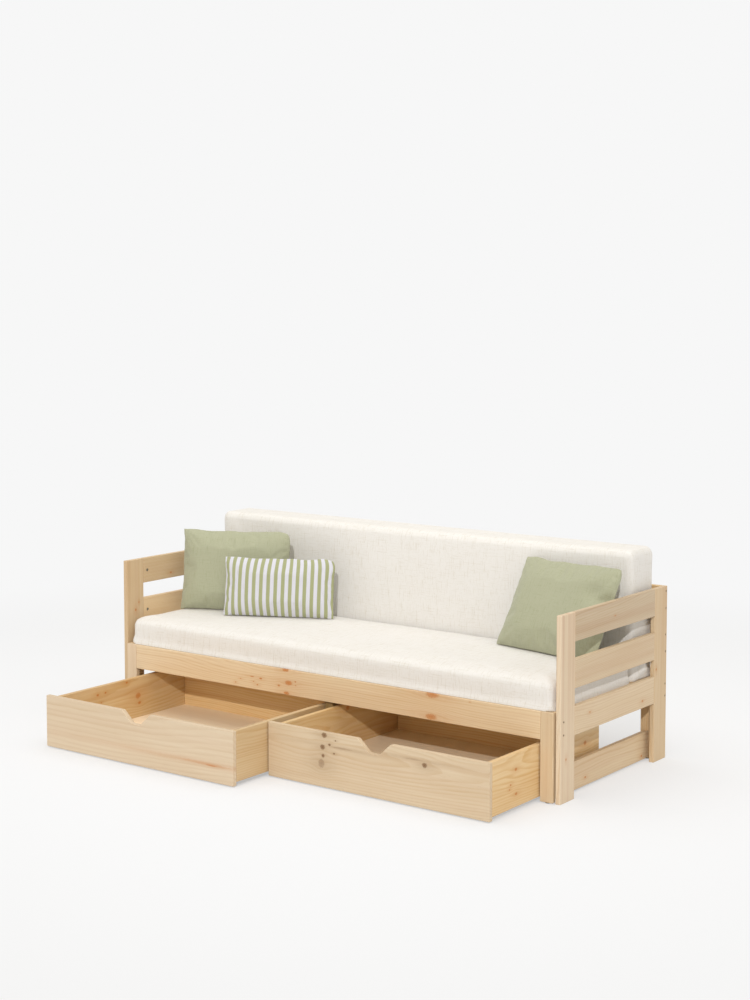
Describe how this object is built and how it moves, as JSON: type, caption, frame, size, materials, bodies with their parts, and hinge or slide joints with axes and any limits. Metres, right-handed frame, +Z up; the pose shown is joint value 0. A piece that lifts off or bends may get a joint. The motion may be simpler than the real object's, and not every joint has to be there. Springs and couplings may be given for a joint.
{
  "type": "storage sofa bed",
  "caption": "Pine daybed with slatted arms, pull-out slatted front frame, rolling storage drawers with scooped hand-holds, linen seat and back cushions and loose pillows.",
  "frame": {"origin": "on the floor, in the middle of the ground that the sofa covers with its drawers open as pictured", "axes": "+X along the sofa to the right arm, +Y from the front to the back, +Z up"},
  "size_m": [1.94, 1.204, 0.7516],
  "materials": {
    "pine": "clear lacquered solid pine",
    "plywood": "thin plywood panel",
    "steel": "zinc-plated folded sheet",
    "roller_plastic": "moulded roller",
    "felt": "pressed felt",
    "linen": "off-white slubbed linen weave",
    "sage_linen": "sage-green linen",
    "striped_linen": "white and sage striped linen"
  },
  "bodies": {
    "frame": {"arm_left_front_post": "pine", "arm_left_rear_post": "pine", "arm_left_seat_rail": "pine", "arm_left_middle_rail": "pine", "arm_left_top_rail": "pine", "arm_right_front_post": "pine", "arm_right_rear_post": "pine", "arm_right_seat_rail": "pine", "arm_right_middle_rail": "pine", "arm_right_top_rail": "pine", "fixed_front_beam": "pine", "fixed_slats_on_rear_beam": "pine", "back_middle_rail": "pine", "back_top_rail": "pine", "centre_leg_front": "pine", "centre_leg_rear": "pine", "back_cushion": "linen"},
    "pull_out_frame": {"front_rail": "pine", "front_leg_left": "pine", "front_leg_right": "pine", "rear_leg_left": "pine", "rear_leg_right": "pine", "side_runner_left": "pine", "side_runner_right": "pine", "sliding_slats_on_cross_rail": "pine", "glide_front_left": "felt", "glide_front_right": "felt", "glide_rear_left": "felt", "glide_rear_right": "felt", "seat_cushion": "linen", "pillow_left": "sage_linen", "pillow_striped": "striped_linen", "pillow_right": "sage_linen"},
    "drawer_left": {"drawer_left_front": "pine", "drawer_left_side_left": "pine", "drawer_left_side_right": "pine", "drawer_left_back": "pine", "drawer_left_bottom": "plywood", "drawer_left_bracket_front_left": "steel", "drawer_left_bracket_front_right": "steel", "drawer_left_bracket_rear_left": "steel", "drawer_left_bracket_rear_right": "steel"},
    "drawer_left_roller_front_left": {"drawer_left_roller_front_left": "roller_plastic"},
    "drawer_left_roller_front_right": {"drawer_left_roller_front_right": "roller_plastic"},
    "drawer_left_roller_rear_left": {"drawer_left_roller_rear_left": "roller_plastic"},
    "drawer_left_roller_rear_right": {"drawer_left_roller_rear_right": "roller_plastic"},
    "drawer_right": {"drawer_right_front": "pine", "drawer_right_side_left": "pine", "drawer_right_side_right": "pine", "drawer_right_back": "pine", "drawer_right_bottom": "plywood", "drawer_right_bracket_front_left": "steel", "drawer_right_bracket_front_right": "steel", "drawer_right_bracket_rear_left": "steel", "drawer_right_bracket_rear_right": "steel"},
    "drawer_right_roller_front_left": {"drawer_right_roller_front_left": "roller_plastic"},
    "drawer_right_roller_front_right": {"drawer_right_roller_front_right": "roller_plastic"},
    "drawer_right_roller_rear_left": {"drawer_right_roller_rear_left": "roller_plastic"},
    "drawer_right_roller_rear_right": {"drawer_right_roller_rear_right": "roller_plastic"}
  },
  "joints": [
    {"name": "pull_out", "type": "slide", "parent": "frame", "child": "pull_out_frame", "axis": [0, -1, 0], "range_m": [0, 0.643]},
    {"name": "drawer_left_slide", "type": "slide", "parent": "frame", "child": "drawer_left", "axis": [0, -1, 0], "range_m": [-0.468, 0.132]},
    {"name": "drawer_left_roller_front_left_spin", "type": "hinge", "parent": "drawer_left", "child": "drawer_left_roller_front_left", "pos_m": [-0.724, -0.464, 0.0128], "axis": [1, 0, 0], "continuous": true},
    {"name": "drawer_left_roller_front_right_spin", "type": "hinge", "parent": "drawer_left", "child": "drawer_left_roller_front_right", "pos_m": [-0.132, -0.464, 0.0128], "axis": [1, 0, 0], "continuous": true},
    {"name": "drawer_left_roller_rear_left_spin", "type": "hinge", "parent": "drawer_left", "child": "drawer_left_roller_rear_left", "pos_m": [-0.724, -0.016, 0.0128], "axis": [1, 0, 0], "continuous": true},
    {"name": "drawer_left_roller_rear_right_spin", "type": "hinge", "parent": "drawer_left", "child": "drawer_left_roller_rear_right", "pos_m": [-0.132, -0.016, 0.0128], "axis": [1, 0, 0], "continuous": true},
    {"name": "drawer_right_slide", "type": "slide", "parent": "frame", "child": "drawer_right", "axis": [0, -1, 0], "range_m": [-0.291, 0.309]},
    {"name": "drawer_right_roller_front_left_spin", "type": "hinge", "parent": "drawer_right", "child": "drawer_right_roller_front_left", "pos_m": [0.172, -0.287, 0.0128], "axis": [1, 0, 0], "continuous": true},
    {"name": "drawer_right_roller_front_right_spin", "type": "hinge", "parent": "drawer_right", "child": "drawer_right_roller_front_right", "pos_m": [0.764, -0.287, 0.0128], "axis": [1, 0, 0], "continuous": true},
    {"name": "drawer_right_roller_rear_left_spin", "type": "hinge", "parent": "drawer_right", "child": "drawer_right_roller_rear_left", "pos_m": [0.172, 0.161, 0.0128], "axis": [1, 0, 0], "continuous": true},
    {"name": "drawer_right_roller_rear_right_spin", "type": "hinge", "parent": "drawer_right", "child": "drawer_right_roller_rear_right", "pos_m": [0.764, 0.161, 0.0128], "axis": [1, 0, 0], "continuous": true}
  ],
  "couplings": [
    {"joint": "drawer_left_roller_front_left_spin", "follows": "drawer_left_slide", "rad_per_m": 80},
    {"joint": "drawer_left_roller_front_right_spin", "follows": "drawer_left_slide", "rad_per_m": 80},
    {"joint": "drawer_left_roller_rear_left_spin", "follows": "drawer_left_slide", "rad_per_m": 80},
    {"joint": "drawer_left_roller_rear_right_spin", "follows": "drawer_left_slide", "rad_per_m": 80},
    {"joint": "drawer_right_roller_front_left_spin", "follows": "drawer_right_slide", "rad_per_m": 80},
    {"joint": "drawer_right_roller_front_right_spin", "follows": "drawer_right_slide", "rad_per_m": 80},
    {"joint": "drawer_right_roller_rear_left_spin", "follows": "drawer_right_slide", "rad_per_m": 80},
    {"joint": "drawer_right_roller_rear_right_spin", "follows": "drawer_right_slide", "rad_per_m": 80}
  ]
}
